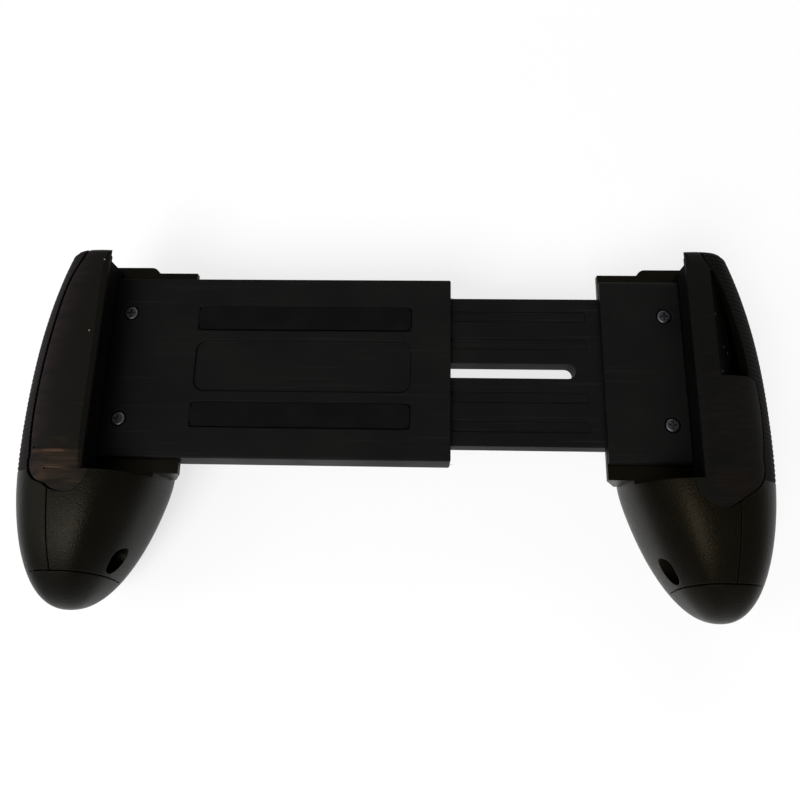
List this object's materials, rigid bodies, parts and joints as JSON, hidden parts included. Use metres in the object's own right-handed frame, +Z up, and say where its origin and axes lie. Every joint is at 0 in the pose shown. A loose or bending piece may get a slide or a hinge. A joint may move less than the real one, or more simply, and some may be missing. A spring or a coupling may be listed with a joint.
{
  "type": "phone gaming grip",
  "caption": "Telescoping gaming grip: a pair of contoured handles on a spring-loaded sliding bridge, with rubber-lined jaws that clamp the ends of a phone or small tablet.",
  "frame": {"origin": "middle of the footprint, on the surface that the backs of the handles rest on, with the bridge open as in the picture", "axes": "+X to the right as the player sees it and along the slide, +Y away from the player, +Z up out of the bay, towards the player's face"},
  "size_m": [0.209, 0.1, 0.044],
  "materials": {
    "handle_shell": "fine moulded grain, satin",
    "front_plate": "smooth satin",
    "side_strip": "finely ribbed, satin",
    "jaw_rubber": "matte",
    "bridge_plastic": "satin",
    "screw_steel": "black-oxide steel",
    "spring_steel": "bright spring wire"
  },
  "bodies": {
    "left_handle": {"left_inner_shell": "handle_shell", "left_outer_shell": "handle_shell", "left_side_strip": "side_strip", "left_jaw_plate": "front_plate", "left_jaw_pad": "jaw_rubber", "left_end_cap": "handle_shell", "left_shell_screws": "screw_steel", "left_bay_screws": "screw_steel", "bridge_tray": "bridge_plastic", "bridge_rear_cover": "bridge_plastic", "rear_cover_screws": "screw_steel", "stop_screw": "screw_steel", "tray_spring_posts": "spring_steel", "lower_tray_pad": "jaw_rubber", "upper_tray_pad": "jaw_rubber", "lower_spring": "spring_steel", "upper_spring": "spring_steel"},
    "right_handle": {"right_inner_shell": "handle_shell", "right_outer_shell": "handle_shell", "right_side_strip": "side_strip", "right_jaw_plate": "front_plate", "right_jaw_pad": "jaw_rubber", "right_end_cap": "handle_shell", "right_shell_screws": "screw_steel", "right_bay_screws": "screw_steel", "right_bay_plate": "bridge_plastic", "slide_plate": "bridge_plastic", "slide_spring_pins": "spring_steel"}
  },
  "joints": [
    {"name": "bridge_slide", "type": "slide", "parent": "left_handle", "child": "right_handle", "axis": [1, 0, 0], "range_m": [-0.042, 0.003], "stiffness_N_per_m": 100, "springref_m": -0.05, "deforming": ["lower_spring", "upper_spring"]}
  ]
}
